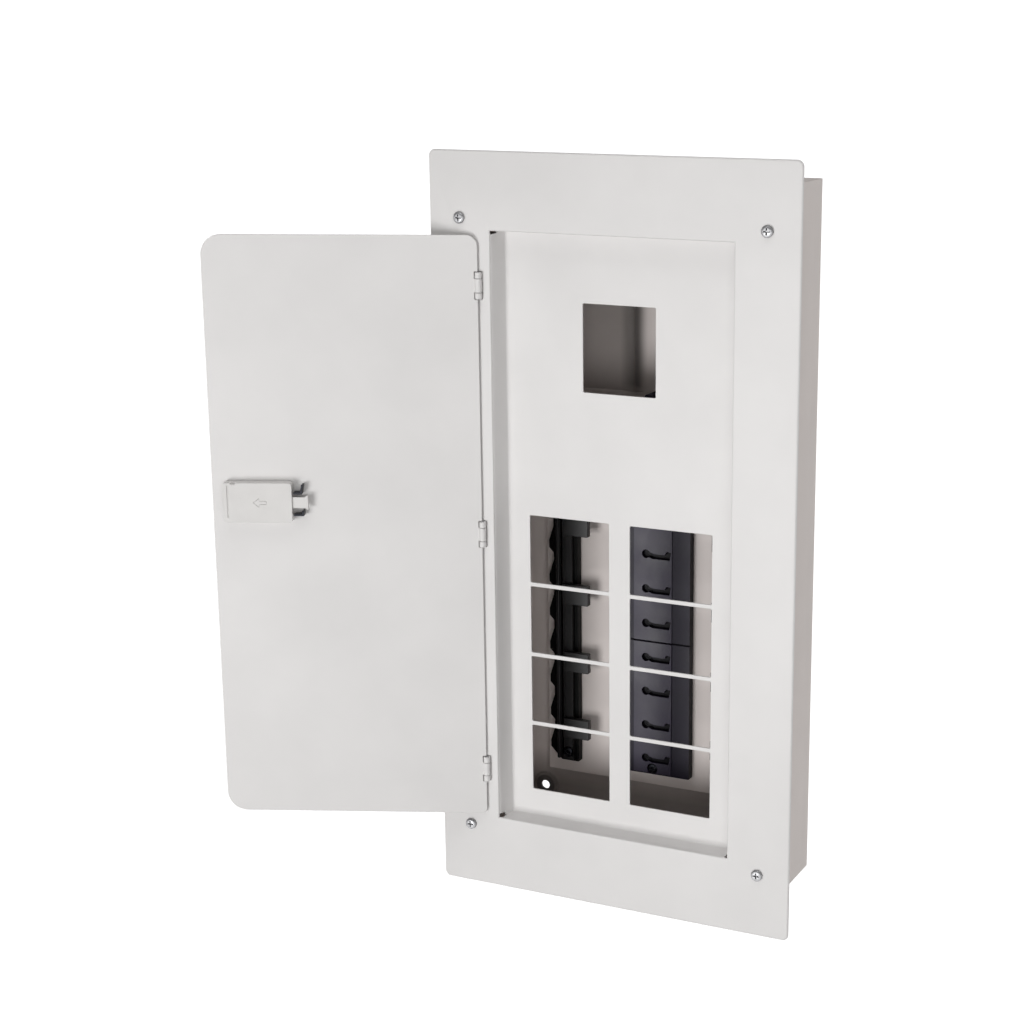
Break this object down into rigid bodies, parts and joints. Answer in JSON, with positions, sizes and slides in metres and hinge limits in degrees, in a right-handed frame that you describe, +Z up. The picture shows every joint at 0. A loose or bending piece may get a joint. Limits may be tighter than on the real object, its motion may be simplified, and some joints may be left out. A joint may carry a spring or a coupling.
{
  "type": "residential load center",
  "caption": "Flush residential load center: steel enclosure, trim with hinged door and slide latch, recessed dead front, plug-on bus interior, neutral and ground bars.",
  "frame": {"origin": "centre of the enclosure's flat back, where it meets the wall", "axes": "+Z up, -Y out of the wall towards the user, +X to the user's right; the door hinges at -X"},
  "size_m": [0.3992, 0.1667, 0.52],
  "materials": {
    "white_enamel": "baked warm-white powder coat, satin",
    "box_enamel": "light grey-beige baked enamel, satin",
    "pan_enamel": "light baked enamel, satin",
    "zinc": "bright zinc plate",
    "black_moulding": "black thermoset moulding",
    "spring_steel": "blackened steel",
    "tinned_bus": null,
    "aluminium_bar": "extruded aluminium",
    "latch_plastic": "warm-white moulded plastic",
    "insulator": "glass-filled insulator",
    "green_screw": "green-tinted steel"
  },
  "bodies": {
    "enclosure": {"back_box": "box_enamel", "base_screw_1": "spring_steel", "base_screw_2": "spring_steel", "bonding_screw": "green_screw", "bonding_strap": "tinned_bus", "breaker_rail_left": "black_moulding", "breaker_rail_right": "black_moulding", "bus_bar_left": "tinned_bus", "bus_bar_right": "tinned_bus", "bus_base": "black_moulding", "dead_front": "white_enamel", "ground_bar": "aluminium_bar", "ground_foot_lower": "zinc", "ground_foot_upper": "zinc", "ground_screw_1": "zinc", "ground_screw_2": "zinc", "ground_screw_3": "zinc", "ground_screw_4": "zinc", "hinge_leaf_lower": "white_enamel", "hinge_leaf_middle": "white_enamel", "hinge_leaf_upper": "white_enamel", "hinge_pin_lower": "zinc", "hinge_pin_middle": "zinc", "hinge_pin_upper": "zinc", "interior_pan": "pan_enamel", "neutral_bar": "aluminium_bar", "neutral_insulator_lower": "insulator", "neutral_insulator_upper": "insulator", "neutral_lug": "aluminium_bar", "neutral_lug_screw": "zinc", "neutral_screw_1": "zinc", "neutral_screw_2": "zinc", "neutral_screw_3": "zinc", "neutral_screw_4": "zinc", "neutral_screw_5": "zinc", "neutral_screw_6": "zinc", "pan_screw_1": "zinc", "pan_screw_2": "zinc", "pan_screw_3": "zinc", "pan_screw_4": "zinc", "rail_screw_1": "spring_steel", "rail_screw_2": "spring_steel", "rail_screw_3": "spring_steel", "rail_screw_4": "spring_steel", "trim_frame": "white_enamel", "trim_screw_bottom_left": "zinc", "trim_screw_bottom_right": "zinc", "trim_screw_top_left": "zinc", "trim_screw_top_right": "zinc"},
    "door": {"door_panel": "white_enamel", "latch_housing": "latch_plastic", "latch_spring_upper": "spring_steel", "latch_spring_lower": "spring_steel"},
    "latch": {"latch_bolt": "latch_plastic"}
  },
  "joints": [
    {"name": "door_hinge", "type": "hinge", "parent": "enclosure", "child": "door", "pos_m": [-0.0949, -0.0909, 0], "axis": [0, 0, 1], "range_deg": [-17.6, 157.4]},
    {"name": "latch_slide", "type": "slide", "parent": "door", "child": "latch", "axis": [-0.9232, -0.3843, 0], "range_m": [0, 0.009]}
  ]
}
